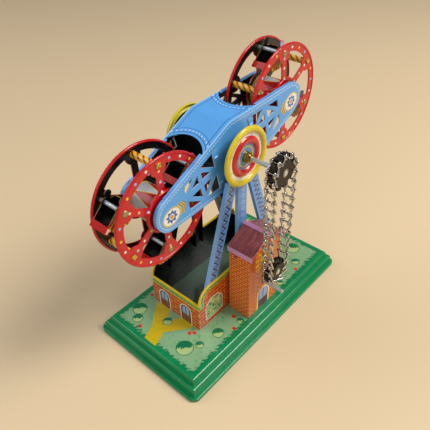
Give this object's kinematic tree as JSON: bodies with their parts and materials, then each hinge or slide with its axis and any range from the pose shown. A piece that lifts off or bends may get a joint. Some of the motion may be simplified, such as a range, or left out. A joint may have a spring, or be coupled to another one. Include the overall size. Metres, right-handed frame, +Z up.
{
  "type": "wind-up ferris wheel toy",
  "caption": "Wind-up tin toy: a turning boom carries small ferris wheels of gondolas at its ends, on leg towers over a brick station, driven by a ladder chain from a clockwork house",
  "frame": {"origin": "on the table, under the middle of the base tray", "axes": "+Z up; X along the boom and the long side of the base; Y along the axles, the motor house and chain on the -Y side"},
  "size_m": [0.187, 0.0987, 0.1819],
  "materials": {
    "tin_green": "gloss printed tin, green skirt and lawn",
    "tin_brick": "gloss printed tin, brick",
    "tin_roof": "gloss printed tin, maroon planks",
    "tin_blue": "gloss printed tin, light blue",
    "tin_red": "gloss printed tin, red with dots",
    "tin_yellow": "gloss printed tin, yellow with red stripes",
    "tin_zigzag": "gloss printed tin, silver and red zigzag",
    "steel_wire": "bright drawn wire",
    "steel_plate": "plain rolled strip",
    "dark_steel": "darkened stamping",
    "brass": "turned brass"
  },
  "bodies": {
    "stand": {"base_tray": "tin_green", "station_walls": "tin_brick", "front_tower": "tin_blue", "rear_tower": "tin_blue", "front_bush": "brass", "rear_bush": "brass", "house_walls": "tin_brick", "house_roof": "tin_roof", "motor_front_plate": "steel_plate", "motor_rear_plate": "steel_plate", "motor_posts": "steel_plate", "mainspring": "steel_plate", "drive_chain": "steel_wire"},
    "boom": {"front_arm": "tin_blue", "rear_arm": "tin_blue", "top_plate": "tin_blue", "bottom_plate": "tin_blue", "main_axle": "steel_wire", "axle_spacers": "steel_wire", "front_disc": "tin_yellow", "rear_disc": "tin_yellow", "front_nut": "brass", "rear_nut": "brass", "upper_sprocket": "dark_steel", "upper_sprocket_bush": "brass", "left_wheel_axle": "steel_wire", "right_wheel_axle": "steel_wire"},
    "output": {"output_shaft": "steel_wire", "output_pinion": "brass", "governor_wheel": "brass", "lower_sprocket": "dark_steel", "lower_sprocket_bush": "brass"},
    "great": {"great_wheel": "brass", "click_spring": "steel_plate"},
    "winder": {"winding_arbor": "steel_wire", "ratchet_wheel": "steel_plate"},
    "fly": {"fly_arbor": "steel_plate", "fly_vanes": "steel_plate"},
    "left_wheel": {"left_front_rim": "tin_red", "left_rear_rim": "tin_red", "left_drum": "tin_zigzag", "left_crossbars": "tin_yellow", "left_gondola_rods": "steel_wire"},
    "left_car_a": {"left_gondola_a": "tin_yellow"},
    "left_car_b": {"left_gondola_b": "tin_yellow"},
    "left_car_c": {"left_gondola_c": "tin_yellow"},
    "right_wheel": {"right_front_rim": "tin_red", "right_rear_rim": "tin_red", "right_drum": "tin_zigzag", "right_crossbars": "tin_yellow", "right_gondola_rods": "steel_wire"},
    "right_car_a": {"right_gondola_a": "tin_yellow"},
    "right_car_b": {"right_gondola_b": "tin_yellow"},
    "right_car_c": {"right_gondola_c": "tin_yellow"}
  },
  "joints": [
    {"name": "boom_spin", "type": "hinge", "parent": "stand", "child": "boom", "pos_m": [0, 0.005, 0.1316], "axis": [0, 1, 0], "continuous": true, "deforming": ["drive_chain"]},
    {"name": "left_wheel_spin", "type": "hinge", "parent": "boom", "child": "left_wheel", "pos_m": [-0.05635, 0.005, 0.11786], "axis": [0, 1, 0], "continuous": true},
    {"name": "left_gondola_a_swing", "type": "hinge", "parent": "left_wheel", "child": "left_car_a", "pos_m": [-0.03113, 0.005, 0.13411], "axis": [0, 1, 0], "continuous": true},
    {"name": "left_gondola_b_swing", "type": "hinge", "parent": "left_wheel", "child": "left_car_b", "pos_m": [-0.08303, 0.005, 0.13158], "axis": [0, 1, 0], "continuous": true},
    {"name": "left_gondola_c_swing", "type": "hinge", "parent": "left_wheel", "child": "left_car_c", "pos_m": [-0.05488, 0.005, 0.0879], "axis": [0, 1, 0], "continuous": true},
    {"name": "right_wheel_spin", "type": "hinge", "parent": "boom", "child": "right_wheel", "pos_m": [0.05635, 0.005, 0.14534], "axis": [0, 1, 0], "continuous": true},
    {"name": "right_gondola_a_swing", "type": "hinge", "parent": "right_wheel", "child": "right_car_a", "pos_m": [0.05426, 0.005, 0.17526], "axis": [0, 1, 0], "continuous": true},
    {"name": "right_gondola_b_swing", "type": "hinge", "parent": "right_wheel", "child": "right_car_b", "pos_m": [0.03148, 0.005, 0.12856], "axis": [0, 1, 0], "continuous": true},
    {"name": "right_gondola_c_swing", "type": "hinge", "parent": "right_wheel", "child": "right_car_c", "pos_m": [0.08331, 0.005, 0.13219], "axis": [0, 1, 0], "continuous": true},
    {"name": "output_spin", "type": "hinge", "parent": "stand", "child": "output", "pos_m": [0, -0.027, 0.0536], "axis": [0, 1, 0], "continuous": true},
    {"name": "great_wheel_spin", "type": "hinge", "parent": "stand", "child": "great", "pos_m": [0, -0.03, 0.0376], "axis": [0, 1, 0], "continuous": true},
    {"name": "fly_spin", "type": "hinge", "parent": "stand", "child": "fly", "pos_m": [0.00707, -0.025, 0.06067], "axis": [0, 1, 0], "continuous": true},
    {"name": "winding_turn", "type": "hinge", "parent": "stand", "child": "winder", "pos_m": [0, -0.036, 0.0376], "axis": [0, 1, 0], "range_deg": [0, 1800], "deforming": ["mainspring", "click_spring"]}
  ],
  "couplings": [
    {"joint": "output_spin", "follows": "boom_spin", "ratio": 1.25},
    {"joint": "great_wheel_spin", "follows": "boom_spin", "ratio": -0.41667},
    {"joint": "fly_spin", "follows": "boom_spin", "ratio": -5}
  ]
}
